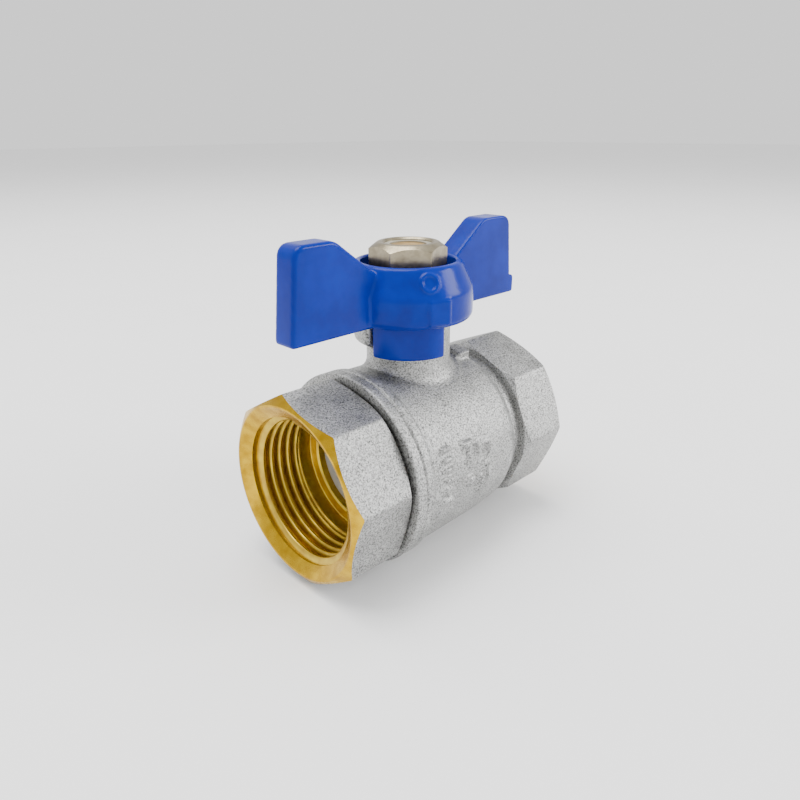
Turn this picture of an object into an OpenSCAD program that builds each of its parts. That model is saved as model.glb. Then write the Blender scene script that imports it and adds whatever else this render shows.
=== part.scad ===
// Water shutoff valve: a two-piece brass ball valve with female pipe threads and a butterfly handle.
// The water flows along X, the end connector is at -X and the stem rises along +Z.
// The origin is the centre of the ball. The handle lies along the flow, so the valve is open.
// All sizes are in millimetres.

/* [Pipe ends] */
// Length over the two end faces
overall_l = 70; // [60:0.5:90]
// Metal between the thread's roots and the flats of the end connector's octagon
inlet_wall = 3.375; // [2:0.025:8]
// Metal between the thread's roots and the flats of the body's octagon
outlet_wall = 2.95; // [2:0.025:8]
// Length of the end connector's octagon
inlet_octagon_l = 15.3; // [12:0.1:15.5]
// Length of the body's octagon
outlet_octagon_l = 14.8; // [8:0.1:16]
// How far the end connector's octagon is turned from the body's, as tightening left it
inlet_turn = 7; // [-22.5:0.5:22.5]
// Diameter over the crests of the female pipe threads
thread_minor_d = 30.291; // [25.1:0.001:31]
// Height of the thread, from crest to root
thread_h = 1.479; // [0.8:0.001:1.5]
// Metal between each threaded socket's floor and the seat's pocket behind it
web_l = 2; // [1:0.1:4]
// Depth of the countersink at each socket's mouth
mouth_depth = 3.2; // [0.5:0.1:5]
// Slope of the countersink from the end face
mouth_angle = 39.4; // [30:0.2:60]
// How far the end face's flat ring stops inside the octagon's flats
face_ring_inset = 0.3; // [0:0.1:1]
// Slope of the chamfer that rounds off the octagons' corners
corner_chamfer_angle = 36; // [15:1:45]

/* [Ball and seats] */
// Diameter of the ball
ball_d = 36; // [35:0.5:46]
// Diameter of the port through the ball, the seats and both webs
port_d = 25; // [18:0.5:30]
// Space between the ball and each seat's hollow face
seat_clearance = 0.15; // [0.1:0.05:0.3]
// Wall of the seats, around the port
seat_wall = 3; // [2:0.1:3.5]
// Length of each seat along the flow
seat_l = 5.5; // [4:0.1:6.5]
// Width of the flat rim on a seat's ball side
seat_rim_w = 0.9; // [0.5:0.1:1.5]
// Radial space around each seat in its pocket
seat_pocket_clearance = 0.05; // [0.02:0.01:0.15]
// How much wider the seats are bored than the port
seat_bore_step = 0.2; // [0:0.1:1]

/* [Body] */
// Space between the ball and the wall of its chamber
chamber_clearance = 0.5; // [0.3:0.1:0.7]
// Wall of the chamber
barrel_wall = 3; // [2:0.1:6]
// Wall of the waist, outside the thread's roots
waist_wall = 1.775; // [1.5:0.025:4]
// Length of the waist between the barrel and the octagon
waist_l = 2.7; // [1:0.1:4]
// Step from the waist up to the barrel's end
waist_step = 1; // [0.5:0.1:2]
// Wall of the end connector's spigot, outside the ball's diameter
spigot_wall = 1.3; // [1.1:0.1:2]
// Radial space between the spigot and the body
spigot_clearance = 0.04; // [0.02:0.01:0.1]
// How far the spigot stops short of the socket's floor
spigot_end_gap = 0.5; // [0.2:0.1:1]
// How much of the seat's length the spigot's pocket covers
seat_cover_l = 5; // [3:0.1:5.5]
// Wall of the collar around the spigot
collar_wall = 2.85; // [2:0.05:6]
// Length of the collar, in two lands
collar_l = 5.2; // [4:0.1:8]
// Width of the open groove between the octagon and the collar
joint_groove_w = 0.5; // [0.4:0.1:3]
// Step from the spigot up to the shoulder at the bottom of that groove
joint_step = 0.5; // [0.4:0.1:1.5]

/* [Neck and stops] */
// Wall of the neck around the packing chamber
neck_wall = 3; // [2:0.1:5]
// Length of the bore that guides the stem, below the packing
stem_guide_l = 7; // [5:0.1:12]
// Radius of the blend from the neck to the barrel
neck_blend_r = 2; // [1.5:0.1:3.4]
// How far the stop lugs stand out from the neck
stop_w = 2.7; // [2:0.1:4]
// Height of the stop lugs
stop_h = 5.2; // [3:0.1:6]
// Space between the stop lugs and the hub above them
stop_gap = 0.4; // [0.3:0.1:1]
// How far around the neck each stop lug reaches, in degrees
stop_arc = 78; // [30:1:85]
// Play between the handle's skirt and each stop, in degrees
stop_play = 2; // [1:0.5:5]

/* [Stem] */
// Diameter of the stem
stem_d = 9; // [8.2:0.1:11]
// Running clearance around the stem, on the radius
stem_clearance = 0.05; // [0.02:0.01:0.1]
// Width of the stem's flange, outside the stem
flange_w = 2; // [1:0.1:2.2]
// Thickness of the stem's flange
flange_t = 2; // [1.5:0.1:2.5]
// Height of the space between the ball and the flange
flange_lift = 0.9; // [0.5:0.1:1.5]
// Thickness of the thrust washer
thrust_washer_t = 0.6; // [0.4:0.1:1]
// Thickness of the tang that turns the ball
tang_t = 5.5; // [4:0.1:6]
// Width of the tang
tang_w = 11; // [8:0.1:12]
// Space around the tang in the ball's slot, on each side
tang_clearance = 0.1; // [0.05:0.01:0.2]
// Metal left between the ball's slot and its port
slot_floor_t = 1.1; // [0.8:0.1:2]
// Thickness of the O-ring's section
o_ring_t = 1.16; // [1:0.01:1.4]
// Width of the O-ring's groove
o_ring_groove_w = 2; // [1.6:0.1:3]
// Height of the O-ring above the lower end of the stem's guide
o_ring_rise = 3.5; // [1.5:0.1:4]

/* [Packing] */
// Width of the packing, which the gland nut screws down, around the stem
packing_w = 2; // [1.5:0.1:3]
// Thickness of one packing ring
packing_t = 1.5; // [1:0.1:2]
// Length of the gland nut
gland_nut_l = 3.7; // [3:0.1:4.5]
// How far the gland nut stands above the neck
gland_nut_rise = 0.2; // [0:0.1:0.5]
// Radial space around the packing and the gland nut
gland_clearance = 0.04; // [0.02:0.01:0.1]
// Width of the gland nut's spanner slots
gland_slot_w = 2; // [1:0.1:3]
// Depth of those slots
gland_slot_h = 1.2; // [0.8:0.1:2]

/* [Handle] */
// Length over both wing tips
handle_l = 68.2; // [50:0.1:90]
// Thickness of the wings
wing_t = 6; // [3:0.1:8]
// Height of the wings
wing_h = 19.2; // [14:0.1:30]
// Length of each wing's top edge
wing_top_l = 9.6; // [6:0.1:14]
// How much shorter each wing is at its top
wing_lean = 2; // [0:0.1:3]
// Radius of the wings' corners
wing_corner_r = 2; // [0.5:0.1:2.5]
// How much wider the hub's belt is than its top rim, on the radius
hub_flare = 2.6; // [1:0.1:4]
// Space for a spanner between the nut's corners and the rim
nut_gap = 1.74; // [1:0.02:4]
// Thickness of the hub's rim
hub_rim_t = 1.4; // [1:0.1:2]
// Thickness of the web that the nut clamps
web_t = 3.5; // [2:0.1:5]
// Depth of the cup around the nut
cup_depth = 4.5; // [3:0.1:6]
// Space between the gland nut and the web
web_lift = 1.3; // [0.5:0.1:2]
// Height of the hub's ring below the web
hub_ring_h = 4.6; // [3:0.1:5]
// Thickness of the skirt that meets the stops
skirt_t = 1.25; // [1:0.05:2]
// How far the skirt hangs below the hub
skirt_h = 7.4; // [5:0.1:8]
// Space between the neck and the skirt
skirt_clearance = 0.45; // [0.3:0.05:0.7]
// Width across the stem's two flats
flats_w = 6.5; // [5:0.1:7]
// How far the stem's shoulder for the nut stops short of the web's top
nut_grip = 0.3; // [0.1:0.1:1]
// Space between the stem and the hole in the web
flats_clearance = 0.05; // [0.02:0.01:0.1]

/* [Handle nut] */
// Width across the nut's flats
nut_af = 15; // [13:0.5:17]
// How far the nut is turned from the flow, in degrees, as tightening left it
nut_turn = 19; // [0:1:59]
// Height of the nut with its collar
nut_h = 8; // [6:0.1:10]
// Height of the collar that holds the locking ring
nut_collar_h = 0.8; // [0.8:0.1:2]
// Diameter of that collar
nut_collar_d = 14; // [11.5:0.1:14]
// Diameter of the threaded end of the stem
stem_thread_d = 8; // [7:0.5:8]
// How far the stem's end stays below the nut's top
stem_end_gap = 0.6; // [0:0.1:2]
// Radial space between the stem's thread and the nut
nut_clearance = 0.03; // [0.02:0.01:0.1]
// Thickness of the locking ring in the nut
lock_ring_t = 1.5; // [1:0.1:2]
// Outer diameter of the locking ring
lock_ring_d = 11; // [10:0.1:11.4]

/* [Hidden] */
$fn = 64;
eps = 0.01;
// How far a cutter reaches past what it cuts
over = 1;
// How far a joined shape reaches into its neighbour
root = 1;
// Small chamfer on turned and cast edges
edge = 0.4;
// Radial play of the small rings that are pressed between others
ring_play = 0.05;
// Play of the thrust washer and the locking ring in their places
end_play = 0.02;
// Space between the O-ring and the bore, and between it and its groove's floor
o_ring_squash = 0.06;

// Radii about the flow axis
ball_r = ball_d / 2;
port_r = port_d / 2;
thread_minor_r = thread_minor_d / 2;
thread_major_r = thread_minor_r + thread_h;
inlet_flat_r = thread_major_r + inlet_wall;
outlet_flat_r = thread_major_r + outlet_wall;
waist_r = thread_major_r + waist_wall;
barrel_end_r = waist_r + waist_step;
chamber_r = ball_r + chamber_clearance;
barrel_r = chamber_r + barrel_wall;
spigot_r = ball_r + spigot_wall;
collar_r = spigot_r + collar_wall;
seat_r = port_r + seat_wall;
seat_pocket_r = seat_r + seat_pocket_clearance;

// Places along the flow, counted from the ball's centre
end_x = overall_l / 2;
collar_x = end_x - inlet_octagon_l - joint_groove_w;
octagon_x = end_x - outlet_octagon_l;
seat_face_x = sqrt(pow(ball_r, 2) - pow(seat_r - seat_rim_w, 2));
seat_back_x = seat_face_x + seat_l;
socket_floor_x = seat_back_x + web_l;
spigot_end_x = seat_back_x - seat_cover_l;
spigot_floor_x = spigot_end_x - spigot_end_gap;

// Radii about the stem
stem_r = stem_d / 2;
stem_bore_r = stem_r + stem_clearance;
flange_r = stem_r + flange_w;
gland_r = stem_r + packing_w;
neck_r = gland_r + neck_wall;
stop_r = neck_r + stop_w;
nut_corner_r = nut_af / 2 / cos(30);
rim_r = nut_corner_r + nut_gap + hub_rim_t;
hub_r = rim_r + hub_flare;
skirt_inner_r = neck_r + skirt_clearance;
skirt_r = skirt_inner_r + skirt_t;

// Heights on the stem, from the ball up
slot_z = port_r + slot_floor_t;
tang_z = slot_z + 2 * tang_clearance;
flange_z = ball_r + flange_lift;
washer_z = flange_z + flange_t;
stem_bore_z = washer_z + thrust_washer_t;
o_ring_z = stem_bore_z + o_ring_rise;
packing_z = stem_bore_z + stem_guide_l;
gland_nut_z = packing_z + 2 * packing_t;
gland_nut_top = gland_nut_z + gland_nut_l;
neck_top = gland_nut_top - gland_nut_rise;
web_z = gland_nut_top + web_lift;
nut_z = web_z + web_t;
hub_z = web_z - hub_ring_h;
stop_z = hub_z - stop_gap - stop_h;
rim_z = nut_z + cup_depth;
wing_top = hub_z + wing_h;
stem_top_z = nut_z + nut_h - stem_end_gap;

// A solid of revolution about the flow axis, from an outline of [radius, x]
module about_flow(outline) {
    rotate([0, 90, 0])
        rotate_extrude()
            polygon(outline);
}

// A round bore along the flow
module flow_bore(r, from_x, to_x) {
    translate([from_x, 0, 0])
        rotate([0, 90, 0])
            cylinder(r = r, h = to_x - from_x);
}

// A ring about the stem's axis
module ring(outer_r, inner_r, z, h) {
    translate([0, 0, z])
        difference() {
            cylinder(r = outer_r, h = h);
            translate([0, 0, -over])
                cylinder(r = inner_r, h = h + 2 * over);
        }
}

// The stem's section with its two flats, or the hole that fits it
module flatted(r, width, z, h) {
    intersection() {
        translate([0, 0, z])
            cylinder(r = r, h = h);
        translate([-r - over, -width / 2, z - over])
            cube([2 * (r + over), width, h + 2 * over]);
    }
}

// An octagon at the outlet end, with its corners rounded off at the end face
module end_octagon(flat_r, l) {
    face_r = flat_r - face_ring_inset;
    cone_l = flat_r;
    intersection() {
        translate([end_x - l, 0, 0])
            rotate([0, 90, 0])
                cylinder(r = flat_r / cos(22.5), h = l, $fn = 8);
        about_flow([[0, end_x - l - over], [face_r + cone_l, end_x - l - over],
            [face_r + cone_l, end_x - cone_l * tan(corner_chamfer_angle)], [face_r, end_x], [0, end_x]]);
    }
}

// A threaded socket at the outlet end, bored to the thread's crests, with a countersunk mouth
module threaded_socket() {
    mouth_r = thread_minor_r + mouth_depth / tan(mouth_angle);
    flow_bore(thread_minor_r, socket_floor_x, end_x + over);
    about_flow([[0, end_x - mouth_depth], [thread_minor_r, end_x - mouth_depth], [mouth_r, end_x],
        [mouth_r, end_x + over], [0, end_x + over]]);
}

// The seat's pocket at the outlet end
module seat_pocket() {
    flow_bore(seat_pocket_r, 0, seat_back_x);
}

// A stop lug on the neck, with a sloping underside
module stop_lug(start_angle) {
    lug_root_r = neck_r - root;
    slope = 2.2;
    rotate_extrude(angle = stop_arc, start = start_angle)
        polygon([[lug_root_r, stop_z + edge - slope], [stop_r, stop_z + edge],
            [stop_r, stop_z + stop_h], [lug_root_r, stop_z + stop_h]]);
}

// The outside of the forged neck, with its blend into the barrel
module neck_outside() {
    blend_z = barrel_r + neck_blend_r - root;
    blend = [for (a = [0 : 15 : 90])
        [neck_r + neck_blend_r * (1 - cos(a)), blend_z - neck_blend_r * sin(a)]];
    rotate_extrude()
        polygon(concat([[0, neck_top], [neck_r - edge, neck_top], [neck_r, neck_top - edge]], blend,
            [[neck_r + neck_blend_r, 0], [0, 0]]));
}

// The outside of the collar, the barrel and the waist
module barrel_outside() {
    first_land = 0.5;
    land_x = -collar_x + collar_l * first_land;
    collar_end_x = -collar_x + collar_l;
    draft = 0.3;
    round_l = 3;
    round_h = 0.8;
    waist_x = octagon_x - waist_l;
    about_flow([[0, -collar_x], [collar_r - edge, -collar_x], [collar_r, -collar_x + edge],
        [collar_r, land_x - edge], [collar_r - edge, land_x], [collar_r, land_x + edge],
        [collar_r, collar_end_x - edge], [barrel_r, collar_end_x], [barrel_r - draft, 0],
        [barrel_end_r + round_h, waist_x - round_l], [barrel_end_r, waist_x],
        [waist_r, waist_x + edge], [waist_r, octagon_x + root], [0, octagon_x + root]]);
}

// The forged body, which holds the outlet thread, the ball's chamber and the neck
module body() {
    color("silver")
        difference() {
            union() {
                barrel_outside();
                end_octagon(outlet_flat_r, outlet_octagon_l);
                neck_outside();
                stop_lug(stop_play);
                stop_lug(180 - stop_play - stop_arc);
            }
            threaded_socket();
            flow_bore(port_r, 0, end_x);
            seat_pocket();
            // The chamber is straight up to the stem, so that the ball slides in, and round past it
            flow_bore(chamber_r, -collar_x, 0);
            sphere(r = chamber_r);
            flow_bore(spigot_r + spigot_clearance, -collar_x - over, -spigot_floor_x);
            cylinder(r = flange_r + stem_clearance, h = stem_bore_z);
            cylinder(r = stem_bore_r, h = neck_top);
            translate([0, 0, packing_z])
                cylinder(r = gland_r, h = neck_top);
        }
}

// The screwed end, which holds the inlet thread and shuts the ball in
module end_connector() {
    color("burlywood")
        difference() {
            union() {
                mirror([1, 0, 0])
                    rotate([-inlet_turn, 0, 0])
                        end_octagon(inlet_flat_r, inlet_octagon_l);
                flow_bore(spigot_r + joint_step, -end_x + inlet_octagon_l - eps, -collar_x);
                flow_bore(spigot_r, -collar_x - root, -spigot_end_x);
            }
            mirror([1, 0, 0]) {
                threaded_socket();
                flow_bore(port_r, 0, end_x);
                seat_pocket();
            }
        }
}

// The ball, open along the flow, with the tang's slot across its top
module ball() {
    slot_w = tang_t + 2 * tang_clearance;
    color("lightgray")
        difference() {
            sphere(r = ball_r);
            flow_bore(port_r, -ball_r - over, ball_r + over);
            translate([-slot_w / 2, -ball_r, slot_z])
                cube([slot_w, ball_d, ball_r]);
        }
}

// A seat on the outlet side
module seat() {
    color("white")
        difference() {
            flow_bore(seat_r, seat_face_x, seat_back_x);
            flow_bore(port_r + seat_bore_step, 0, end_x);
            sphere(r = ball_r + seat_clearance);
        }
}

module outlet_seat() {
    seat();
}

module inlet_seat() {
    mirror([1, 0, 0])
        seat();
}

// The stem goes in from the chamber: tang, flange, shank, flats and thread
module stem() {
    color("darkgoldenrod")
        difference() {
            union() {
                translate([-tang_t / 2, -tang_w / 2, tang_z])
                    cube([tang_t, tang_w, flange_z - tang_z + root]);
                translate([0, 0, flange_z])
                    cylinder(r = flange_r, h = flange_t);
                translate([0, 0, washer_z - eps])
                    cylinder(r = stem_r, h = web_z - washer_z + eps);
                flatted(stem_r, flats_w, web_z - eps, web_t - nut_grip);
                flatted(stem_thread_d / 2, flats_w, web_z, web_t + eps);
                translate([0, 0, nut_z])
                    cylinder(d = stem_thread_d, h = stem_top_z - nut_z - edge);
                translate([0, 0, stem_top_z - edge])
                    cylinder(d1 = stem_thread_d, d2 = stem_thread_d - 2 * edge, h = edge);
            }
            ring(stem_r + over, stem_bore_r - o_ring_t - o_ring_squash, o_ring_z - o_ring_groove_w / 2,
                o_ring_groove_w);
        }
}

module stem_thrust_washer() {
    color("white")
        ring(flange_r, stem_bore_r + ring_play, washer_z + end_play, thrust_washer_t - 2 * end_play);
}

module stem_o_ring() {
    color("dimgray")
        translate([0, 0, o_ring_z])
            rotate_extrude()
                translate([stem_bore_r - o_ring_t / 2 - o_ring_squash, 0])
                    circle(d = o_ring_t);
}

module packing_ring_lower() {
    color("white")
        ring(gland_r - gland_clearance, stem_bore_r, packing_z, packing_t);
}

module packing_ring_upper() {
    color("white")
        ring(gland_r - gland_clearance, stem_bore_r, packing_z + packing_t, packing_t);
}

// The gland nut presses on the packing and has two slots for a pin spanner
module gland_nut() {
    color("gold")
        difference() {
            ring(gland_r - gland_clearance, stem_bore_r + ring_play, gland_nut_z, gland_nut_l);
            translate([-gland_r - over, -gland_slot_w / 2, gland_nut_top - gland_slot_h])
                cube([2 * (gland_r + over), gland_slot_w, gland_slot_h + over]);
        }
}

// Points along a rounded corner, from one angle to the next
function corner(cx, cz, r, from_a, to_a) =
    [for (i = [0 : 4]) let (a = from_a + (to_a - from_a) * i / 4) [cx + r * cos(a), cz + r * sin(a)]];

// One wing, which stands along X with its root inside the hub
module wing() {
    r = wing_corner_r;
    tip_x = handle_l / 2;
    top_x = tip_x - wing_lean;
    inner_x = top_x - wing_top_l;
    root_x = rim_r - hub_rim_t / 2;
    root_drop = 2;
    rotate([90, 0, 0])
        translate([0, 0, -wing_t / 2])
            linear_extrude(height = wing_t)
                polygon(concat([[root_x, hub_z], [tip_x - r, hub_z]],
                    corner(tip_x - r, hub_z + r, r, -90, 0),
                    corner(top_x - r, wing_top - r, r, 0, 90),
                    corner(inner_x + r * 0.4, wing_top - r, r, 90, 132),
                    [[root_x, rim_z - root_drop]]));
}

// The cast handle: a cupped hub over the neck, two wings, and a quarter skirt that meets the stops
module handle() {
    belt_z = nut_z - cup_depth / 3;
    skirt_z = hub_z - skirt_h;
    color("royalblue")
        difference() {
            union() {
                rotate_extrude()
                    polygon([[0, hub_z], [hub_r - 2 * edge, hub_z], [hub_r, hub_z + 2 * edge], [hub_r, belt_z],
                        [rim_r, rim_z - edge], [rim_r - edge, rim_z], [0, rim_z]]);
                wing();
                mirror([1, 0, 0])
                    wing();
                rotate_extrude(angle = 90, start = 180)
                    polygon([[skirt_inner_r, skirt_z], [skirt_r - edge, skirt_z],
                        [skirt_r, skirt_z + edge], [skirt_r, hub_z + root],
                        [skirt_inner_r, hub_z + root]]);
            }
            // The cup around the nut
            translate([0, 0, nut_z])
                cylinder(r = rim_r - hub_rim_t, h = wing_top);
            // The hollow that covers the neck
            cylinder(r = skirt_inner_r, h = web_z);
            flatted(stem_r + flats_clearance, flats_w + 2 * flats_clearance, web_z - over,
                web_t + 2 * over);
        }
}

// The locking nut: a chamfered hexagon under a round collar
module handle_nut() {
    hex_h = nut_h - nut_collar_h;
    top_r = nut_af / 2 - edge;
    color("tan")
        translate([0, 0, nut_z])
            difference() {
                union() {
                    intersection() {
                        rotate([0, 0, nut_turn])
                            cylinder(r = nut_corner_r, h = hex_h, $fn = 6);
                        cylinder(r1 = top_r + hex_h / tan(corner_chamfer_angle), r2 = top_r, h = hex_h);
                    }
                    cylinder(d = nut_collar_d, h = nut_h);
                }
                translate([0, 0, -over])
                    cylinder(r = stem_thread_d / 2 + nut_clearance, h = nut_h + 2 * over);
                translate([0, 0, nut_h - lock_ring_t - edge])
                    cylinder(d = lock_ring_d, h = lock_ring_t + over);
            }
}

module nut_lock_ring() {
    color("lightsteelblue")
        ring(lock_ring_d / 2 - end_play, stem_thread_d / 2 + nut_clearance,
            nut_z + nut_h - lock_ring_t - edge + end_play, lock_ring_t);
}

body();
end_connector();
ball();
inlet_seat();
outlet_seat();
stem();
stem_thrust_washer();
stem_o_ring();
packing_ring_lower();
packing_ring_upper();
gland_nut();
handle();
handle_nut();
nut_lock_ring();
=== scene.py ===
"""Looks of the water shutoff valve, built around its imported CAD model.

Outlines and sizes are in millimetres and each finished mesh is scaled to the frame's metres. The
water flows along X, the stem rises along Z, and the ball's centre is the origin.
"""
import math

import bmesh
import bpy
from mathutils import Matrix, Vector


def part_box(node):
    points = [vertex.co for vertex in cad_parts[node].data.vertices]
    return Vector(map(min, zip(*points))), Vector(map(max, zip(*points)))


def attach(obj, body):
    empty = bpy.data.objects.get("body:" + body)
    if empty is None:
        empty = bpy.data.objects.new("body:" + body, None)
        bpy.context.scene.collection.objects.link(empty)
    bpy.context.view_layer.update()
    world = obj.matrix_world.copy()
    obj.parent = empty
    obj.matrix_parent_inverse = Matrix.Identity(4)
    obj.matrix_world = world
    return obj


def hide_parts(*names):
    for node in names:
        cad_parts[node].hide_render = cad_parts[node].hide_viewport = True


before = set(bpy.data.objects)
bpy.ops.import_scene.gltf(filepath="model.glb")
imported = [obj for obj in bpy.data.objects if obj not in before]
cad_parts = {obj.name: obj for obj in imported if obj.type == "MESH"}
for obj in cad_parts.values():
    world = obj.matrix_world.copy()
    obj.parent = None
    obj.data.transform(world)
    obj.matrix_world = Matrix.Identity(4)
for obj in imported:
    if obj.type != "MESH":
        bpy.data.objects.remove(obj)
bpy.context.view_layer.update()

MM = 0.001
SHARP_ANGLE = math.radians(32)
ROUND_STEPS = 4
LATHE_STEPS = 128
# How far a cutting tool runs past the face it cuts
OVERRUN = 1
# Points of a mesh closer than this are one point
SAME_POINT = 1e-4


def millimetres(node):
    """A CAD node's lowest and highest corners, in millimetres."""
    low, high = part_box(node)
    return Vector(low) / MM, Vector(high) / MM


# Places that the CAD model gives
body_low, body_high = millimetres("body")
end_low, end_high = millimetres("end_connector")
handle_low, handle_high = millimetres("handle")
nut_low, nut_high = millimetres("handle_nut")
inlet_x = end_low.x
outlet_x = body_high.x
spigot_end_x = end_high.x
collar_x = body_low.x
collar_r = body_high.y
neck_top = body_high.z
hub_r = handle_high.y
wing_top = handle_high.z
wing_tip = handle_high.x
skirt_z = handle_low.z
nut_z = nut_low.z
nut_top = nut_high.z

# The pipe threads, G 1; depths are from the end face
THREAD_PITCH = 2.309
THREAD_MINOR_R = 15.15
THREAD_ROOT_R = 16.55
THREAD_START = 2.05
THREAD_TURNS = 5.3
MOUTH_R = 19.05
MOUTH_DEPTH = 2.6
RUN_OUT = 13.6
SOCKET_FLOOR = 16.97
PORT_R = 12.5
SEAT_POCKET_R = 15.55

# The joint behind the end connector's octagon, whose groove faces are painted near-black as shade
GROOVE_R = 19.9
GROOVE_DEPTH_X = 19.6
SHOULDER_R = 19
SPIGOT_R = 19.3
COLLAR_BORE_R = 19.34

# The collar's scored line, and the end of its second land
COLLAR_LINE_X = -16.55
COLLAR_END_X = -14.2

# The octagons
INLET_AF = 40
OUTLET_AF = 39.15
INLET_L = 15.3
OUTLET_L = 14.8
INLET_TURN = 7
FACE_RING_INSET = 0.5
CORNER_CHAMFER = math.radians(36)
RIM_ROUNDING = 0.13

# The barrel and the neck
BARREL_R = 21.3
WAIST_R = 18.1
CHAMBER_R = 18.5
SLEEVE_R = 17.6
SLEEVE_END = 11
NECK_R = 9.5
PACKING_R = 6.55
NECK_BLEND = 1.7

# The two stop lugs on the neck, in degrees about the stem from +X
LUG_R = 12.2
LUG_ROOT_R = 8.3
LUG_TOP = 31.5
LUG_ARC = 78
LUG_PLAY = 2

# The handle
HUB_Z = 31.9
WEB_Z = 36.5
RIM_R = 11.8
RIM_Z = 44.5
CUP_R = 10.4
HOLLOW_R = 9.95
SKIRT_R = 11.2
SKIRT_START = 180
SKIRT_ARC = 90
WING_T = 6
WING_LEAN = 2
WING_TOP_L = 9.6
FOOT_L = 0.9
FOOT_H = 4.2
MARK_TURN = 244
PAD_TURN = 252

# The nut
NUT_AF = 15
NUT_TURN = 19
NUT_BORE_R = 4.05
NUT_RING_R = 5.3


# Modelling

def swung(bm, degrees, axis):
    """Turns a shape about an axis through the origin."""
    turn = Matrix.Rotation(math.radians(degrees), 3, axis)
    bmesh.ops.rotate(bm, cent=(0, 0, 0), matrix=turn, verts=bm.verts)
    return bm


def shifted(bm, by):
    """Moves a shape."""
    bmesh.ops.translate(bm, vec=by, verts=bm.verts)
    return bm


def round_corners(bm, corners, outline):
    """Rounds each corner of a flat outline by the last number of its entry."""
    for corner, (_, _, rounding) in zip(corners, outline):
        if rounding:
            bmesh.ops.bevel(bm, geom=[corner], offset=rounding, segments=ROUND_STEPS,
                            profile=0.5, affect="VERTICES", material=-1)


def turned(outline, along="Z", steps=LATHE_STEPS):
    """A solid of revolution from an outline of (radius, place, rounding of that corner)."""
    bm = bmesh.new()
    corners = [bm.verts.new((radius, 0, place)) for radius, place, _ in outline]
    bm.faces.new(corners)
    round_corners(bm, corners, outline)
    bmesh.ops.delete(bm, geom=bm.faces[:], context="FACES_ONLY")
    bmesh.ops.spin(bm, geom=bm.verts[:] + bm.edges[:], cent=(0, 0, 0), axis=(0, 0, 1),
                   angle=2 * math.pi, steps=steps, use_merge=True)
    bmesh.ops.remove_doubles(bm, verts=bm.verts, dist=SAME_POINT)
    if along == "X":
        swung(bm, 90, "Y")
    bmesh.ops.recalc_face_normals(bm, faces=bm.faces)
    return bm


def round_edges(bm, amount, least_angle=50, keep=None):
    """Rounds every edge sharper than least_angle, in degrees, that keep() accepts."""
    sharp = [e for e in bm.edges if len(e.link_faces) == 2
             and e.calc_face_angle() > math.radians(least_angle) and (keep is None or keep(e))]
    bmesh.ops.bevel(bm, geom=sharp, offset=amount, segments=ROUND_STEPS, profile=0.5,
                    affect="EDGES", clamp_overlap=True, material=-1)


def sector(outline, start, arc, rounding):
    """Part of a turned ring, from start through arc, in degrees, with its sharp edges rounded."""
    bm = bmesh.new()
    face = bm.faces.new([bm.verts.new((radius, 0, place)) for radius, place in outline])
    swung(bm, start, "Z")
    bmesh.ops.spin(bm, geom=bm.verts[:] + bm.edges[:] + [face], cent=(0, 0, 0), axis=(0, 0, 1),
                   angle=math.radians(arc), steps=max(6, int(arc / 3)))
    bmesh.ops.recalc_face_normals(bm, faces=bm.faces)
    round_edges(bm, rounding)
    return bm


def slab(outline, thickness, rounding):
    """A plate in the XZ plane, centred on y = 0, from an outline of (x, z, rounding of that corner)."""
    bm = bmesh.new()
    corners = [bm.verts.new((x, -thickness / 2, z)) for x, z, _ in outline]
    bm.faces.new(corners)
    round_corners(bm, corners, outline)
    made = bmesh.ops.extrude_face_region(bm, geom=bm.faces[:])
    moved = [v for v in made["geom"] if isinstance(v, bmesh.types.BMVert)]
    bmesh.ops.translate(bm, vec=(0, thickness, 0), verts=moved)
    bmesh.ops.recalc_face_normals(bm, faces=bm.faces)
    round_edges(bm, rounding, least_angle=60)
    return bm


def block(place, size, rounding):
    """A box with rounded edges."""
    bm = bmesh.new()
    bmesh.ops.create_cube(bm, size=1)
    bmesh.ops.scale(bm, vec=size, verts=bm.verts)
    shifted(bm, place)
    round_edges(bm, rounding)
    return bm


def prism(sides, across_flats, length, rounding, turn=0.0):
    """A prism that stands on z = 0, with its long edges rounded."""
    bm = bmesh.new()
    corner_r = across_flats / 2 / math.cos(math.pi / sides)
    bmesh.ops.create_circle(bm, cap_ends=True, segments=sides, radius=corner_r)
    # The circle's first corner is on +Y; here it starts on +X
    swung(bm, turn - 90, "Z")
    grown = bmesh.ops.extrude_face_region(bm, geom=bm.faces[:])
    moved = [v for v in grown["geom"] if isinstance(v, bmesh.types.BMVert)]
    bmesh.ops.translate(bm, vec=(0, 0, length), verts=moved)
    bmesh.ops.recalc_face_normals(bm, faces=bm.faces)
    upright = [e for e in bm.edges if abs(e.verts[0].co.z - e.verts[1].co.z) > length / 2]
    bmesh.ops.bevel(bm, geom=upright, offset=rounding, segments=ROUND_STEPS, profile=0.5,
                    affect="EDGES", material=-1)
    return bm


def helper(bm, name="helper"):
    """A mesh object in millimetres that other shapes are made from."""
    mesh = bpy.data.meshes.new(name)
    bm.to_mesh(mesh)
    bm.free()
    made = bpy.data.objects.new(name, mesh)
    bpy.context.scene.collection.objects.link(made)
    return made


def applied(obj):
    """The object with its modifiers made part of its mesh."""
    view = bpy.context.evaluated_depsgraph_get()
    mesh = bpy.data.meshes.new_from_object(obj.evaluated_get(view))
    obj.modifiers.clear()
    obj.data = mesh
    return obj


def combined(base, tool, operation):
    """base with tool cut from it, added to it or kept in common with it."""
    step = base.modifiers.new("combine", "BOOLEAN")
    step.operation = operation
    step.solver = "EXACT"
    step.object = tool
    applied(base)
    bpy.data.objects.remove(tool)
    return base


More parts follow.
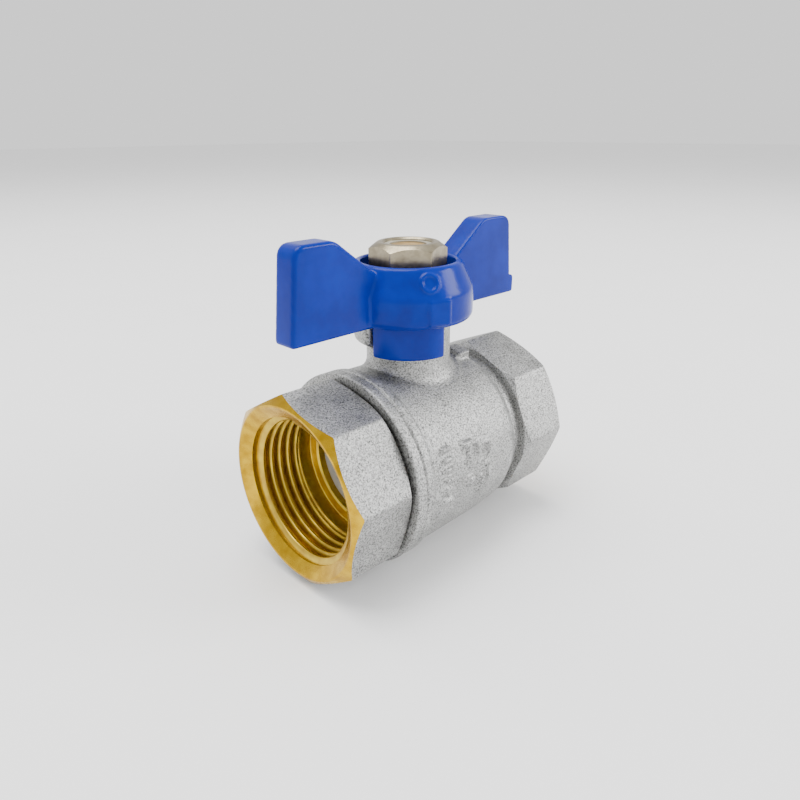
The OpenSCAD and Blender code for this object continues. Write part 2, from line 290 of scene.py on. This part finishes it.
def melted(parts, voxel, smoothing):
    """Solids that run together into one cast or forged skin, with soft inner and outer corners."""
    bm = bmesh.new()
    for part in parts:
        mesh = bpy.data.meshes.new("part")
        part.to_mesh(mesh)
        part.free()
        bm.from_mesh(mesh)
        bpy.data.meshes.remove(mesh)
    made = helper(bm)
    skin = made.modifiers.new("skin", "REMESH")
    skin.mode = "VOXEL"
    skin.voxel_size = voxel
    skin.use_smooth_shade = True
    soft = made.modifiers.new("soft", "SMOOTH")
    soft.factor = 0.5
    soft.iterations = smoothing
    return applied(made)


def finished(obj, name, body, materials, choose=None, smooth_angle=SHARP_ANGLE):
    """Scales a shape to metres, shades it, gives it its materials and lets it ride on its body."""
    bm = bmesh.new()
    bm.from_mesh(obj.data)
    if choose:
        bm.normal_update()
        for face in bm.faces:
            face.material_index = choose(face.calc_center_median(), face.normal)
    else:
        for face in bm.faces:
            face.material_index = 0
    bmesh.ops.scale(bm, vec=(MM, MM, MM), verts=bm.verts)
    for face in bm.faces:
        face.smooth = True
    mesh = bpy.data.meshes.new(name)
    bm.to_mesh(mesh)
    bm.free()
    mesh.set_sharp_from_angle(angle=smooth_angle)
    for material in materials:
        mesh.materials.append(material)
    bpy.data.objects.remove(obj)
    piece = bpy.data.objects.new(name, mesh)
    bpy.context.scene.collection.objects.link(piece)
    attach(piece, body)
    return piece


# Materials

def linear(colour):
    """An sRGB hex colour as a linear RGBA."""
    parts = [int(colour[i:i + 2], 16) / 255 for i in (1, 3, 5)]
    return [c / 12.92 if c <= 0.04045 else ((c + 0.055) / 1.055) ** 2.4 for c in parts] + [1.0]


def add(tree, kind, inputs=None, **settings):
    """Adds a node, gives it its settings, and sets or links its inputs."""
    made = tree.nodes.new("ShaderNode" + kind)
    for name, value in settings.items():
        setattr(made, name, value)
    for name, value in (inputs or {}).items():
        if isinstance(value, bpy.types.NodeSocket):
            tree.links.new(value, made.inputs[name])
        else:
            made.inputs[name].default_value = value
    return made


def new_material(name):
    """An empty material, its tree, its shader and the socket of its object coordinates."""
    material = bpy.data.materials.new(name)
    material.use_nodes = True
    tree = material.node_tree
    tree.nodes.clear()
    shader = add(tree, "BsdfPrincipled")
    add(tree, "OutputMaterial", {"Surface": shader.outputs[0]})
    place = add(tree, "TexCoord").outputs["Object"]
    return material, tree, shader, place


def grain(tree, place, size, detail=2.0, roughness=0.5):
    """A noise whose spots are about size millimetres across."""
    settings = {"Vector": place, "Scale": 1 / (size * MM), "Detail": detail, "Roughness": roughness}
    return add(tree, "TexNoise", settings).outputs["Fac"]


def between(tree, factor, first, second):
    """A colour that goes from first to second with factor."""
    inputs = {0: factor, 6: first, 7: second}
    return add(tree, "Mix", inputs, data_type="RGBA").outputs[2]


def spread(tree, value, low, high, from_low=0.35, from_high=0.65):
    """A number that goes from low to high as value goes over its middle range."""
    inputs = {"Value": value, "From Min": from_low, "From Max": from_high, "To Min": low, "To Max": high}
    return add(tree, "MapRange", inputs).outputs[0]


def bumped(tree, height, strength, depth, under=None):
    """A normal from a height, depth millimetres deep."""
    inputs = {"Height": height, "Strength": strength, "Distance": depth * MM}
    if under:
        inputs["Normal"] = under
    return add(tree, "Bump", inputs).outputs[0]


def satin_nickel():
    """Nickel plate on tumbled forged brass: grey, satin, with a fine even grit."""
    material, tree, shader, place = new_material("satin_nickel_on_forged_brass")
    cloud = grain(tree, place, 5.0, 3.0)
    # Real grit is about 0.1 mm; it is drawn at 0.36 mm so that it shows
    grit = grain(tree, place, 0.36, 3.0, 0.7)
    pits = grain(tree, place, 0.9, 2.0)
    tone = between(tree, spread(tree, cloud, 0.0, 1.0), linear("#b2b2b0"), linear("#c4c4c2"))
    fleck = between(tree, spread(tree, grit, 0.0, 0.95, 0.41, 0.66), tone, linear("#424241"))
    fine = bumped(tree, grit, 0.9, 0.14)
    both = bumped(tree, pits, 0.4, 0.12, fine)
    tree.links.new(fleck, shader.inputs["Base Color"])
    tree.links.new(spread(tree, cloud, 0.42, 0.52), shader.inputs["Roughness"])
    tree.links.new(both, shader.inputs["Normal"])
    shader.inputs["Metallic"].default_value = 1.0
    return material


def turned_brass(name, light, dark, roughness=0.26):
    """Free-cutting brass off the lathe: golden, with fine tool lines around the flow axis."""
    material, tree, shader, place = new_material(name)
    # Feed marks are about 0.15 mm apart; they are drawn 0.4 mm apart so that they show
    lines = add(tree, "TexWave", {"Vector": place, "Scale": 1 / (0.4 * MM) / math.tau, "Distortion": 0.6,
                                  "Detail": 1.0}, wave_type="BANDS", bands_direction="X").outputs["Fac"]
    rings = add(tree, "TexWave", {"Vector": place, "Scale": 1 / (0.4 * MM) / math.tau, "Distortion": 0.4,
                                  "Detail": 1.0}, wave_type="RINGS", rings_direction="X").outputs["Fac"]
    stain = grain(tree, place, 2.5, 3.0)
    tone = between(tree, spread(tree, stain, 0.0, 1.0, 0.3, 0.7), linear(light), linear(dark))
    along = bumped(tree, lines, 0.1, 0.02)
    across = bumped(tree, rings, 0.1, 0.02, along)
    tree.links.new(tone, shader.inputs["Base Color"])
    tree.links.new(spread(tree, stain, roughness - 0.04, roughness + 0.06), shader.inputs["Roughness"])
    tree.links.new(across, shader.inputs["Normal"])
    shader.inputs["Metallic"].default_value = 1.0
    return material


def blue_epoxy():
    """Stoved epoxy on a casting: royal blue, glossy, with a faint orange peel."""
    material, tree, shader, place = new_material("blue_stoved_epoxy")
    peel = grain(tree, place, 1.1, 1.0)
    cloud = grain(tree, place, 7.0, 3.0)
    speck = grain(tree, place, 0.5, 2.0)
    tone = between(tree, spread(tree, cloud, 0.0, 1.0), linear("#021c7c"), linear("#032490"))
    tree.links.new(tone, shader.inputs["Base Color"])
    tree.links.new(spread(tree, speck, 0.17, 0.23), shader.inputs["Roughness"])
    tree.links.new(bumped(tree, peel, 0.35, 0.06), shader.inputs["Normal"])
    shader.inputs["Specular IOR Level"].default_value = 0.14
    return material


def nickel_steel():
    """Nickel plate on a steel nut: warm, semi-bright, slightly uneven."""
    material, tree, shader, place = new_material("warm_nickel_on_steel")
    cloud = grain(tree, place, 2.0, 3.0)
    scratch = grain(tree, place, 0.4, 2.0)
    tone = between(tree, spread(tree, cloud, 0.0, 1.0), linear("#857b66"), linear("#a0967f"))
    tree.links.new(tone, shader.inputs["Base Color"])
    tree.links.new(spread(tree, scratch, 0.28, 0.4), shader.inputs["Roughness"])
    tree.links.new(bumped(tree, scratch, 0.25, 0.03), shader.inputs["Normal"])
    shader.inputs["Metallic"].default_value = 1.0
    return material


def polished_chrome():
    """Hard chrome on the ball: a near mirror with faint polishing marks."""
    material, tree, shader, place = new_material("polished_chrome_plate")
    haze = grain(tree, place, 3.0, 3.0)
    marks = grain(tree, place, 0.6, 2.0)
    tone = between(tree, spread(tree, haze, 0.0, 1.0), linear("#b8babd"), linear("#cfd1d3"))
    tree.links.new(tone, shader.inputs["Base Color"])
    tree.links.new(spread(tree, haze, 0.16, 0.28), shader.inputs["Roughness"])
    tree.links.new(bumped(tree, marks, 0.1, 0.01), shader.inputs["Normal"])
    shader.inputs["Metallic"].default_value = 1.0
    return material


def soft_plastic(name, light, dark, roughness):
    """A moulded or skived plastic or rubber: one tone with faint clouds and a waxy surface."""
    material, tree, shader, place = new_material(name)
    cloud = grain(tree, place, 1.8, 3.0)
    fine = grain(tree, place, 0.4, 2.0)
    tree.links.new(between(tree, cloud, linear(light), linear(dark)), shader.inputs["Base Color"])
    tree.links.new(spread(tree, fine, roughness - 0.06, roughness + 0.06), shader.inputs["Roughness"])
    tree.links.new(bumped(tree, fine, 0.2, 0.02), shader.inputs["Normal"])
    return material


nickel = satin_nickel()
brass = turned_brass("turned_brass", "#c9a323", "#a67f12")
thread_brass = turned_brass("freshly_cut_brass", "#ccb03c", "#b4923a", 0.34)
stem_brass = turned_brass("drawn_brass_rod", "#cfa850", "#b98f3a", 0.32)
epoxy = blue_epoxy()
nut_nickel = nickel_steel()
chrome = polished_chrome()
ptfe = soft_plastic("skived_ptfe", "#efeee8", "#e2e1d9", 0.42)
nitrile = soft_plastic("moulded_nitrile_rubber", "#1c1c1e", "#29292b", 0.6)
# A near-black material painted into the joint's groove as shade, where there is only shade
joint_groove_shade = soft_plastic("painted_shade_in_joint_groove", "#2c2b29", "#1f1e1d", 0.55)
nylon = soft_plastic("moulded_nylon", "#9c988a", "#8c887b", 0.4)


# The screwed pipe ends, made along +Z and then turned to +X or -X by their side, 1 or -1

def thread_ridge(face, side):
    """The female thread's ridge, a rounded 55 degree form that winds in from the mouth."""
    start = face - THREAD_START
    hidden = 0.5
    crest_w = 0.55
    root_w = THREAD_PITCH - 0.35
    bm = bmesh.new()
    outline = [(THREAD_ROOT_R + hidden, -root_w / 2), (THREAD_ROOT_R, -root_w / 2),
               (THREAD_MINOR_R, -crest_w / 2), (THREAD_MINOR_R, crest_w / 2),
               (THREAD_ROOT_R, root_w / 2), (THREAD_ROOT_R + hidden, root_w / 2)]
    corners = [bm.verts.new((r, 0, start + z)) for r, z in outline]
    bm.faces.new(corners)
    for corner in corners[2:4]:
        bmesh.ops.bevel(bm, geom=[corner], offset=0.22, segments=2, profile=0.5,
                        affect="VERTICES", material=-1)
    steps = int(THREAD_TURNS * 72)
    bmesh.ops.spin(bm, geom=bm.verts[:] + bm.edges[:] + bm.faces[:], cent=(0, 0, 0), axis=(0, 0, 1),
                   dvec=(0, 0, -THREAD_PITCH * THREAD_TURNS / steps),
                   angle=-math.tau * THREAD_TURNS, steps=steps)
    bmesh.ops.recalc_face_normals(bm, faces=bm.faces)
    # The countersink cuts the ridge away at the mouth, and its other end sinks into the plain bore
    slope = MOUTH_DEPTH / (MOUTH_R - THREAD_MINOR_R)
    for v in bm.verts:
        radius = v.co.xy.length
        depth = face - v.co.z
        least = MOUTH_R - depth / slope + 0.03
        if depth > RUN_OUT - 0.7:
            least = THREAD_MINOR_R + 0.06
        if radius < least:
            v.co.xy *= least / radius
    return swung(bm, 90 * side, "Y")


def socket_tool(face, inner_end):
    """What the socket, the port and the seat's pocket leave open, along +Z."""
    root_z = face - MOUTH_DEPTH * (MOUTH_R - THREAD_ROOT_R) / (MOUTH_R - THREAD_MINOR_R)
    run_out = face - RUN_OUT
    floor = face - SOCKET_FLOOR
    return turned([(0, face + OVERRUN, 0), (MOUTH_R + 1.6, face + OVERRUN, 0), (MOUTH_R, face, 0),
                   (THREAD_ROOT_R, root_z, 0), (THREAD_ROOT_R, run_out + 1.2, 0),
                   (THREAD_MINOR_R, run_out, 0.3), (THREAD_MINOR_R, floor, 0.4), (PORT_R + 0.4, floor, 0),
                   (PORT_R, floor - 0.4, 0), (PORT_R, floor - 2, 0), (SEAT_POCKET_R, floor - 2, 0),
                   (SEAT_POCKET_R, inner_end - OVERRUN, 0), (0, inner_end - OVERRUN, 0)])


def pipe_end(across_flats, face, length, turn, rear_outline, inner_end, side):
    """An octagon with a machined face and a threaded socket, with what stands behind it."""
    face_r = across_flats / 2 - FACE_RING_INSET
    rear_r = face_r + 0.6
    wide = face_r + 8
    back = face - length
    rise = math.tan(CORNER_CHAMFER)
    bm = prism(8, across_flats, length + 2 * OVERRUN, 0.35, turn)
    stock = helper(shifted(bm, (0, 0, back - OVERRUN)))
    chamfers = turned([(0, back, 0), (rear_r, back, 0), (wide, back + (wide - rear_r) * rise, 0),
                       (wide, face - (wide - face_r) * rise, 0), (face_r, face, 0), (0, face, 0)])
    combined(stock, helper(chamfers), "INTERSECT")
    combined(stock, helper(turned(rear_outline)), "UNION")
    combined(stock, helper(socket_tool(face, inner_end)), "DIFFERENCE")
    bm = bmesh.new()
    bm.from_mesh(stock.data)
    bmesh.ops.remove_doubles(bm, verts=bm.verts, dist=SAME_POINT)
    sharp = [e for e in bm.edges if len(e.link_faces) == 2 and e.calc_face_angle() > math.radians(20)]
    front = [e for e in sharp if all(abs(v.co.z - face) < 1e-3 for v in e.verts)]
    rear = [e for e in sharp if all(back - 0.1 < v.co.z < back + 2 and v.co.xy.length > rear_r - 0.3
                                    for v in e.verts)]
    bmesh.ops.bevel(bm, geom=front + rear, offset=RIM_ROUNDING, segments=2, profile=0.5,
                    affect="EDGES", material=-1)
    swung(bm, 90 * side, "Y")
    ridge = thread_ridge(face, side)
    ridge_mesh = bpy.data.meshes.new("ridge")
    ridge.to_mesh(ridge_mesh)
    ridge.free()
    bm.from_mesh(ridge_mesh)
    bpy.data.meshes.remove(ridge_mesh)
    bpy.data.objects.remove(stock)
    return helper(bm)


# The order of an end's materials
NICKEL_SLOT, BRASS_SLOT, PAINTED_SHADE_SLOT, THREAD_SLOT = range(4)


def end_finish(side):
    """Which material a face of a pipe end has: bare brass where it is machined, painted shade in the
    joint's groove, nickel elsewhere.
    """
    def choose(place, normal):
        reach = place.yz.length
        radial = Vector((0, place.y, place.z)).normalized()
        inward = normal.dot(radial) < -0.15
        forward = normal.x * side > 0.2
        backward = normal.x * side < -0.9
        if inward and reach < THREAD_ROOT_R + 0.1:
            return THREAD_SLOT
        if inward and reach < MOUTH_R + 0.3 or forward:
            return THREAD_SLOT if reach < THREAD_ROOT_R - 0.1 else BRASS_SLOT
        # Faces in the joint's groove get the near-black painted shade
        if reach < GROOVE_R and (backward or place.x * side < GROOVE_DEPTH_X):
            return PAINTED_SHADE_SLOT
        return NICKEL_SLOT
    return choose


end_face = -inlet_x
inlet_back = end_face - INLET_L
shoulder_start = inlet_back + 0.5
inlet_rear = [(10, shoulder_start, 0), (SHOULDER_R, shoulder_start, 0), (SHOULDER_R, -collar_x, 0),
              (SPIGOT_R, -collar_x, 0), (SPIGOT_R, -spigot_end_x, 0), (10, -spigot_end_x, 0)]
inlet = pipe_end(INLET_AF, end_face, INLET_L, INLET_TURN, inlet_rear, -spigot_end_x, -1)
# The third material is the painted shade for the joint's groove
inlet_materials = [nickel, brass, joint_groove_shade, thread_brass]
inlet_piece = finished(inlet, "end_connector_forging", "valve_body", inlet_materials, end_finish(-1))
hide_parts("end_connector")

outlet_back = outlet_x - OUTLET_L
sleeve_start = outlet_back + 0.5
outlet_rear = [(10, sleeve_start, 0), (SLEEVE_R, sleeve_start, 0), (SLEEVE_R, SLEEVE_END, 0),
               (10, SLEEVE_END, 0)]
outlet = pipe_end(OUTLET_AF, outlet_x, OUTLET_L, 0, outlet_rear, SLEEVE_END, 1)
# No painted shade at this end: its painted-shade slot holds nickel
outlet_materials = [nickel, brass, nickel, thread_brass]
outlet_piece = finished(outlet, "body_outlet", "valve_body", outlet_materials, end_finish(1))
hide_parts("body")


# The forged barrel and neck

def barrel():
    """The drafted barrel, its round end and the waist, with the ball's chamber left out."""
    into_octagon = outlet_back + 0.4
    return turned([(CHAMBER_R, -15, 0), (21.45, -15, 0), (21.45, -12, 0), (BARREL_R, -4, 0),
                   (21.1, 6, 0), (20.5, 14.0, 0.3), (19.4, 16.4, 0.2), (WAIST_R, 16.9, 0.3),
                   (WAIST_R, into_octagon, 0), (17, into_octagon, 0), (17, 14, 0),
                   (CHAMBER_R, 2, 0)], "X")


def neck():
    """The neck's tube, whose foot flares out and comes down onto the barrel."""
    foot_z = BARREL_R - 0.1
    bm = turned([(PACKING_R, neck_top, 0), (NECK_R, neck_top, 0.4), (NECK_R, foot_z, NECK_BLEND),
                 (NECK_R + 2.6, foot_z, 0), (NECK_R + 2.6, foot_z - 1, 0), (PACKING_R, foot_z - 1, 0)])
    reach = NECK_BLEND + 2
    for v in bm.verts:
        share = min(1, max(0, (foot_z + reach - v.co.z) / reach))
        drop = BARREL_R - math.sqrt(BARREL_R ** 2 - min(abs(v.co.y), BARREL_R) ** 2)
        v.co.z -= drop * share
    return bm


def stop_lug(start):
    """A lug with a sloping underside that the handle's skirt comes to rest on."""
    return sector([(LUG_ROOT_R, 25.2), (LUG_R, 27.2), (LUG_R, LUG_TOP), (LUG_ROOT_R, LUG_TOP)],
                  start, LUG_ARC, 0.5)


def relief(x, angle, length, width):
    """A plain raised bar on the barrel, angle degrees below the middle of its -Y side."""
    bm = block((0, -BARREL_R, 0), (length, 1.8, width), 0.2)
    swung(bm, angle, "X")
    return shifted(bm, (x, 0, 0))


# One column of bars across the barrel and two of bars along and across it: x, angle, length, width
marks = [relief(-9.4, angle, 2.6, 0.9) for angle in (-23, -17, -11, -5, 1, 9)]
marks += [relief(*bar) for bar in [
    (-2.4, -13, 0.9, 5.6), (0.6, -15, 0.9, 2.6), (-2.2, 3, 2.2, 2.2), (-2.6, -21, 3.4, 0.9),
    (4.2, -12, 0.9, 2.8), (1.6, 9, 0.9, 4.4), (3.8, 3, 0.9, 4.4)]]
# A cast pip on the barrel, beside the neck's foot
marks.append(relief(13.2, -80.5, 3.8, 5.0))
lugs = [stop_lug(LUG_PLAY), stop_lug(180 - LUG_PLAY - LUG_ARC)]
forging = melted([barrel(), neck()] + lugs + marks, 0.38, 4)
forging_piece = finished(forging, "body_forging", "valve_body", [nickel], smooth_angle=math.pi)
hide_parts("body")

line_w = 0.7
collar_back = COLLAR_END_X + 1.6
collar = helper(turned([(COLLAR_BORE_R, collar_x, 0), (collar_r, collar_x, 0.5),
                        (collar_r, COLLAR_LINE_X - line_w / 2, 0.15), (collar_r - 0.4, COLLAR_LINE_X, 0),
                        (collar_r, COLLAR_LINE_X + line_w / 2, 0.15), (collar_r, COLLAR_END_X, 0.7),
                        (BARREL_R, COLLAR_END_X + 0.8, 0.3), (20.6, collar_back, 0),
                        (COLLAR_BORE_R, collar_back, 0)], "X"))
collar_piece = finished(collar, "body_collar", "valve_body", [nickel])
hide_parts("body")


# The handle

def hub():
    """The hub: hollow below its web, and cupped above it around the nut."""
    return turned([(HOLLOW_R, HUB_Z, 0.3), (hub_r - 0.9, HUB_Z, 0.4), (hub_r, HUB_Z + 0.9, 0.6),
                   (hub_r, nut_z - 1.5, 0.8), (RIM_R, RIM_Z - 0.2, 0.5), (CUP_R, RIM_Z, 0.4),
                   (CUP_R, nut_z, 0.5), (4.6, nut_z, 0), (4.6, WEB_Z, 0), (HOLLOW_R, WEB_Z, 0.3)])


def wing(side):
    """The wing on the +X or -X side, 1 or -1."""
    root_x = RIM_R - 0.8
    top_x = wing_tip - WING_LEAN
    outline = [(root_x, HUB_Z, 0), (wing_tip, HUB_Z, 0.8), (top_x, wing_top, 2.2),
               (top_x - WING_TOP_L, wing_top, 1.2), (root_x, RIM_Z - 2, 0)]
    if side > 0:
        # The +X wing ends in a small foot
        foot_x = wing_tip + FOOT_L
        outline[1:2] = [(foot_x, HUB_Z, 0.6), (foot_x, HUB_Z + FOOT_H, 0.3),
                        (wing_tip - 0.6, HUB_Z + FOOT_H + 0.4, 0.2)]
    bm = slab(outline, WING_T, 0.9)
    return bm if side > 0 else swung(bm, 180, "Z")


def skirt():
    """The quarter skirt under the hub, which swings between the stop lugs."""
    into_hub = HUB_Z + 1.5
    return sector([(HOLLOW_R, skirt_z), (SKIRT_R, skirt_z), (SKIRT_R, into_hub), (HOLLOW_R, into_hub)],
                  SKIRT_START, SKIRT_ARC, 0.45)


def hub_mark():
    """A plain embossed ring on the hub's sloping shoulder."""
    bm = turned([(1.45, -0.8, 0), (2.15, -0.8, 0), (2.15, 0.35, 0.15), (1.45, 0.35, 0.15)], steps=32)
    lean = math.degrees(math.atan2(hub_r - RIM_R, RIM_Z - nut_z + 1.5))
    swung(bm, 90 - lean, "Y")
    shifted(bm, ((hub_r + RIM_R) / 2, 0, nut_z + 1.6))
    return swung(bm, MARK_TURN, "Z")


def hub_pad():
    """A plain raised pad on the hub's belt, below the ring."""
    bm = block((hub_r - 0.4, 0, (HUB_Z + nut_z) / 2 - 0.4), (1.4, 5, 5.4), 0.3)
    return swung(bm, PAD_TURN, "Z")


handle = melted([hub(), wing(1), wing(-1), skirt(), hub_mark(), hub_pad()], 0.27, 5)
handle_piece = finished(handle, "handle_casting", "handle_and_stem", [epoxy], smooth_angle=math.pi)
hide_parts("handle")


# The locking nut

def locking_nut():
    """A hexagon chamfered top and bottom, with a ring's recess around the stem's end."""
    hex_h = nut_top - nut_z
    flat_r = NUT_AF / 2
    wide = flat_r + 3
    above = 9
    nut = helper(prism(6, NUT_AF, hex_h + OVERRUN, 0.25, NUT_TURN))
    chamfers = turned([(0, 0, 0), (flat_r - 0.1, 0, 0), (wide, 1.8, 0), (wide, hex_h - 2.7, 0),
                       (flat_r - 0.9, hex_h + 0.2, 0.3), (0, hex_h + 0.2, 0)])
    combined(nut, helper(chamfers), "INTERSECT")
    bore = turned([(0, -OVERRUN, 0), (NUT_BORE_R, -OVERRUN, 0), (NUT_BORE_R, hex_h - 2, 0),
                   (NUT_RING_R, hex_h - 2, 0), (NUT_RING_R, hex_h - 0.2, 0),
                   (NUT_RING_R + 0.5, hex_h + 0.3, 0), (NUT_RING_R + 0.5, above, 0), (0, above, 0)])
    combined(nut, helper(bore), "DIFFERENCE")
    bm = bmesh.new()
    bm.from_mesh(nut.data)
    bpy.data.objects.remove(nut)
    return helper(shifted(bm, (0, 0, nut_z)))


nut_piece = finished(locking_nut(), "locking_nut", "handle_and_stem", [nut_nickel])
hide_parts("handle_nut")


# CAD parts that keep their shape

def dress(node, material):
    """Gives a CAD part its finish."""
    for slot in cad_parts[node].material_slots:
        slot.material = material


dress("ball", chrome)
dress("stem", stem_brass)
dress("gland_nut", stem_brass)
dress("stem_o_ring", nitrile)
dress("nut_lock_ring", nylon)
for part in ("inlet_seat", "outlet_seat", "stem_thrust_washer", "packing_ring_lower", "packing_ring_upper"):
    dress(part, ptfe)


# Floor, light and camera

def floor():
    """A wide pale floor under the valve."""
    material, tree, shader, place = new_material("pale_floor")
    tone = between(tree, grain(tree, place, 60, 2.0), linear("#f4f4f4"), linear("#f8f8f8"))
    tree.links.new(tone, shader.inputs["Base Color"])
    shader.inputs["Roughness"].default_value = 0.8
    bm = bmesh.new()
    bmesh.ops.create_grid(bm, x_segments=1, y_segments=1, size=4)
    shifted(bm, (0, 0, body_low.z * MM))
    mesh = bpy.data.meshes.new("floor")
    bm.to_mesh(mesh)
    bm.free()
    mesh.materials.append(material)
    made = bpy.data.objects.new("floor", mesh)
    bpy.context.scene.collection.objects.link(made)


def softbox(name, place, size, power):
    """A square light in metres that points at the valve."""
    data = bpy.data.lights.new(name, "AREA")
    data.size = size
    data.energy = power
    made = bpy.data.objects.new(name, data)
    made.location = place
    made.rotation_euler = (Vector((0, 0, 0.01)) - Vector(place)).to_track_quat("-Z", "Y").to_euler()
    bpy.context.scene.collection.objects.link(made)


floor()
softbox("key_light", (0.62, -0.64, 0.36), 0.42, 7)
softbox("top_light", (-0.15, 0.2, 1.0), 0.8, 16)

world = bpy.data.worlds.new("studio")
world.use_nodes = True
world.node_tree.nodes["Background"].inputs["Color"].default_value = linear("#ffffff")
world.node_tree.nodes["Background"].inputs["Strength"].default_value = 1.15
bpy.context.scene.world = world

LENS = 30.0
CAMERA_PLACE = (-0.1040, -0.1022, 0.0707)
HEADING = math.radians(45.26)
TILT = math.radians(-22.20)
ROLL = math.radians(-0.36)
camera_data = bpy.data.cameras.new("camera")
camera_data.lens = LENS
camera_data.clip_start = 0.01
camera = bpy.data.objects.new("camera", camera_data)
bpy.context.scene.collection.objects.link(camera)
camera.matrix_world = (Matrix.Translation(CAMERA_PLACE) @ Matrix.Rotation(HEADING - math.pi / 2, 4, "Z")
                       @ Matrix.Rotation(math.pi / 2 + TILT, 4, "X") @ Matrix.Rotation(ROLL, 4, "Z"))
bpy.context.scene.camera = camera
